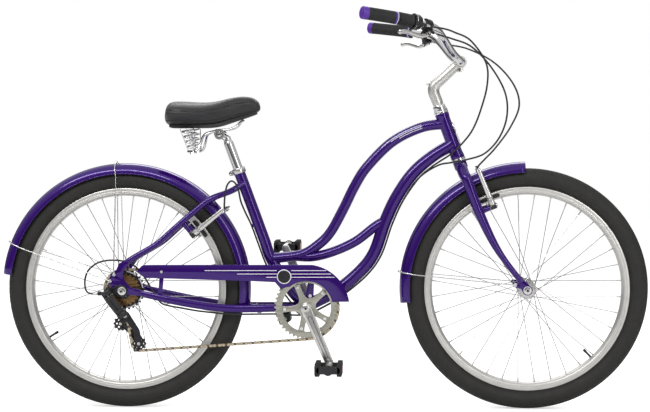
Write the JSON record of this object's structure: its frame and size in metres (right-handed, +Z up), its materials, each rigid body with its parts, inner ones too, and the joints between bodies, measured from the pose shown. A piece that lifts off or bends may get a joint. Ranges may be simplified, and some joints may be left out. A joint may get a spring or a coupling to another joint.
{
  "type": "step-through city bicycle",
  "caption": "Step-through city bicycle with a curved frame, fenders, a chainguard, a sprung saddle, swept bars, linear-pull brakes and a derailleur drive.",
  "frame": {"origin": "on the ground directly under the rear axle, on the bicycle's middle plane", "axes": "+X forwards, towards the front wheel; +Y to the rider's left; +Z up"},
  "size_m": [1.8025, 0.6904, 1.0911],
  "materials": {
    "purple_paint": "gloss dark purple enamel",
    "alloy": "satin polished alloy",
    "plated_steel": "bright plating",
    "black_metal": "satin black",
    "black_plastic": "fine grained black",
    "rubber": "matte black",
    "tyre": "matte black with a block tread",
    "chain_steel": "oiled bronze brown steel",
    "saddle_cover": "dull black cover"
  },
  "bodies": {
    "frame_body": {"frame": "purple_paint", "headset_lower": "plated_steel", "headset_upper": "plated_steel", "bb_cup_left": "black_metal", "bb_cup_right": "black_metal", "rear_axle": "plated_steel", "rear_fender": "purple_paint", "rear_stay_upper": "plated_steel", "rear_stay_lower": "plated_steel", "derailleur_body": "black_metal", "chainguard": "purple_paint", "seat_collar": "plated_steel", "chain": "chain_steel", "rear_brake_cable": "black_plastic", "shift_cable": "black_plastic"},
    "steering": {"fork": "purple_paint", "headset_locknut": "plated_steel", "stem": "alloy", "handlebar": "plated_steel", "grip_left": "rubber", "grip_right": "rubber", "shifter_housing": "black_plastic", "lever_bracket_left": "black_plastic", "lever_bracket_right": "black_plastic", "front_fender": "purple_paint", "front_stay": "plated_steel", "front_axle": "plated_steel", "front_brake_cable": "black_plastic"},
    "twist_grip": {"twist_shifter": "rubber"},
    "left_lever": {"brake_lever_left": "alloy"},
    "right_lever": {"brake_lever_right": "alloy"},
    "front_wheel": {"front_tyre": "tyre", "front_rim": "alloy", "front_hub": "alloy"},
    "front_brake_left": {"front_brake_arm_left": "alloy"},
    "front_brake_right": {"front_brake_arm_right": "alloy"},
    "rear_wheel": {"rear_tyre": "tyre", "rear_rim": "alloy", "rear_hub": "alloy"},
    "freewheel_cluster": {"freewheel": "chain_steel"},
    "rear_brake_left": {"rear_brake_arm_left": "alloy"},
    "rear_brake_right": {"rear_brake_arm_right": "alloy"},
    "crankset": {"chainring": "alloy", "crank_left": "alloy", "crank_right": "alloy", "bb_spindle": "plated_steel"},
    "left_pedal": {"pedal_left": "black_plastic"},
    "right_pedal": {"pedal_right": "black_plastic"},
    "outer_link": {"derailleur_outer_link": "black_metal"},
    "inner_link": {"derailleur_inner_link": "black_metal"},
    "moving_knuckle": {"derailleur_knuckle": "black_metal"},
    "cage": {"derailleur_cage": "black_metal"},
    "guide_wheel": {"guide_pulley": "black_plastic"},
    "tension_wheel": {"tension_pulley": "black_plastic"},
    "seatpost_unit": {"seatpost": "alloy", "saddle_rails": "plated_steel", "saddle_spring_left": "plated_steel", "saddle_spring_right": "plated_steel"},
    "saddle": {"saddle_cushion": "saddle_cover", "saddle_base": "black_plastic"}
  },
  "joints": [
    {"name": "steering", "type": "hinge", "parent": "frame_body", "child": "steering", "pos_m": [0.93306, 0, 0.69797], "axis": [-0.342, 0, 0.9397], "range_deg": [-50, 50], "deforming": ["rear_brake_cable", "shift_cable"]},
    {"name": "twist_shift", "type": "hinge", "parent": "steering", "child": "twist_grip", "pos_m": [0.78943, -0.27461, 1.06498], "axis": [0.8631, 0.4814, -0.1529], "range_deg": [0, 110]},
    {"name": "front_brake_lever", "type": "hinge", "parent": "steering", "child": "left_lever", "pos_m": [0.845, 0.24914, 1.02791], "axis": [0.721, 0.6123, 0.3245], "range_deg": [0, 13], "stiffness_Nm_per_rad": 2, "springref_deg": -8.59},
    {"name": "rear_brake_lever", "type": "hinge", "parent": "steering", "child": "right_lever", "pos_m": [0.845, -0.24914, 1.02791], "axis": [-0.721, 0.6123, -0.3245], "range_deg": [0, 13], "stiffness_Nm_per_rad": 2, "springref_deg": -8.59},
    {"name": "front_wheel_spin", "type": "hinge", "parent": "steering", "child": "front_wheel", "pos_m": [1.122, 0, 0.335], "axis": [0, 1, 0], "continuous": true},
    {"name": "front_brake_left_pivot", "type": "hinge", "parent": "steering", "child": "front_brake_left", "pos_m": [1.02872, 0.043, 0.56587], "axis": [0.9272, 0, 0.3746], "range_deg": [0, 3], "deforming": ["front_brake_cable"]},
    {"name": "front_brake_right_pivot", "type": "hinge", "parent": "steering", "child": "front_brake_right", "pos_m": [1.02872, -0.043, 0.56587], "axis": [-0.9272, 0, -0.3746], "range_deg": [0, 3], "deforming": ["front_brake_cable"]},
    {"name": "rear_wheel_spin", "type": "hinge", "parent": "frame_body", "child": "rear_wheel", "pos_m": [0, 0, 0.335], "axis": [0, 1, 0], "continuous": true},
    {"name": "freewheel_spin", "type": "hinge", "parent": "frame_body", "child": "freewheel_cluster", "pos_m": [0, 0, 0.335], "axis": [0, 1, 0], "continuous": true},
    {"name": "rear_brake_left_pivot", "type": "hinge", "parent": "frame_body", "child": "rear_brake_left", "pos_m": [0.19487, 0.043, 0.49001], "axis": [0.6225, 0, -0.7826], "range_deg": [0, 3], "deforming": ["rear_brake_cable"]},
    {"name": "rear_brake_right_pivot", "type": "hinge", "parent": "frame_body", "child": "rear_brake_right", "pos_m": [0.19487, -0.043, 0.49001], "axis": [-0.6225, 0, 0.7826], "range_deg": [0, 3], "deforming": ["rear_brake_cable"]},
    {"name": "crank_spin", "type": "hinge", "parent": "frame_body", "child": "crankset", "pos_m": [0.51175, 0, 0.287], "axis": [0, 1, 0], "continuous": true},
    {"name": "left_pedal_spin", "type": "hinge", "parent": "crankset", "child": "left_pedal", "pos_m": [0.44533, 0.14, 0.44349], "axis": [0, 1, 0], "continuous": true},
    {"name": "right_pedal_spin", "type": "hinge", "parent": "crankset", "child": "right_pedal", "pos_m": [0.57818, -0.14, 0.13051], "axis": [0, 1, 0], "continuous": true},
    {"name": "outer_link_pivot", "type": "hinge", "parent": "frame_body", "child": "outer_link", "pos_m": [-0.034, -0.096, 0.321], "axis": [-0.8437, 0, -0.5369], "range_deg": [0, 31.3], "deforming": ["chain"]},
    {"name": "inner_link_pivot", "type": "hinge", "parent": "frame_body", "child": "inner_link", "pos_m": [-0.034, -0.081, 0.321], "axis": [-0.8437, 0, -0.5369], "range_deg": [0, 31.3]},
    {"name": "knuckle_pivot", "type": "hinge", "parent": "outer_link", "child": "moving_knuckle", "pos_m": [-0.006, -0.076, 0.277], "axis": [-0.8437, 0, -0.5369], "range_deg": [-31.3, 0], "deforming": ["chain"]},
    {"name": "cage_pivot", "type": "hinge", "parent": "moving_knuckle", "child": "cage", "pos_m": [0.004, -0.0525, 0.264], "axis": [0, 1, 0], "range_deg": [0, 40], "stiffness_Nm_per_rad": 0.5, "deforming": ["chain"]},
    {"name": "guide_pulley_spin", "type": "hinge", "parent": "cage", "child": "guide_wheel", "pos_m": [-0.012, -0.0315, 0.239], "axis": [0, 1, 0], "continuous": true},
    {"name": "tension_pulley_spin", "type": "hinge", "parent": "cage", "child": "tension_wheel", "pos_m": [0.039, -0.0315, 0.183], "axis": [0, 1, 0], "continuous": true},
    {"name": "seatpost_height", "type": "slide", "parent": "frame_body", "child": "seatpost_unit", "axis": [-0.342, 0, 0.9397], "range_m": [-0.05, 0.05]},
    {"name": "saddle_suspension", "type": "hinge", "parent": "seatpost_unit", "child": "saddle", "pos_m": [0.33463, 0, 0.80554], "axis": [0, -1, 0], "range_deg": [0, 3.5], "stiffness_Nm_per_rad": 1300, "deforming": ["saddle_spring_left", "saddle_spring_right"]}
  ],
  "couplings": [
    {"joint": "crank_spin", "follows": "rear_wheel_spin", "ratio": 0.63636},
    {"joint": "freewheel_spin", "follows": "rear_wheel_spin", "ratio": 1},
    {"joint": "guide_pulley_spin", "follows": "rear_wheel_spin", "ratio": -2.8},
    {"joint": "tension_pulley_spin", "follows": "rear_wheel_spin", "ratio": 2.8},
    {"joint": "front_brake_left_pivot", "follows": "front_brake_lever", "ratio": 0.23},
    {"joint": "front_brake_right_pivot", "follows": "front_brake_lever", "ratio": 0.23},
    {"joint": "rear_brake_left_pivot", "follows": "rear_brake_lever", "ratio": 0.23},
    {"joint": "rear_brake_right_pivot", "follows": "rear_brake_lever", "ratio": 0.23},
    {"joint": "outer_link_pivot", "follows": "twist_shift", "ratio": 0.284},
    {"joint": "inner_link_pivot", "follows": "twist_shift", "ratio": 0.284},
    {"joint": "knuckle_pivot", "follows": "twist_shift", "ratio": -0.284}
  ]
}
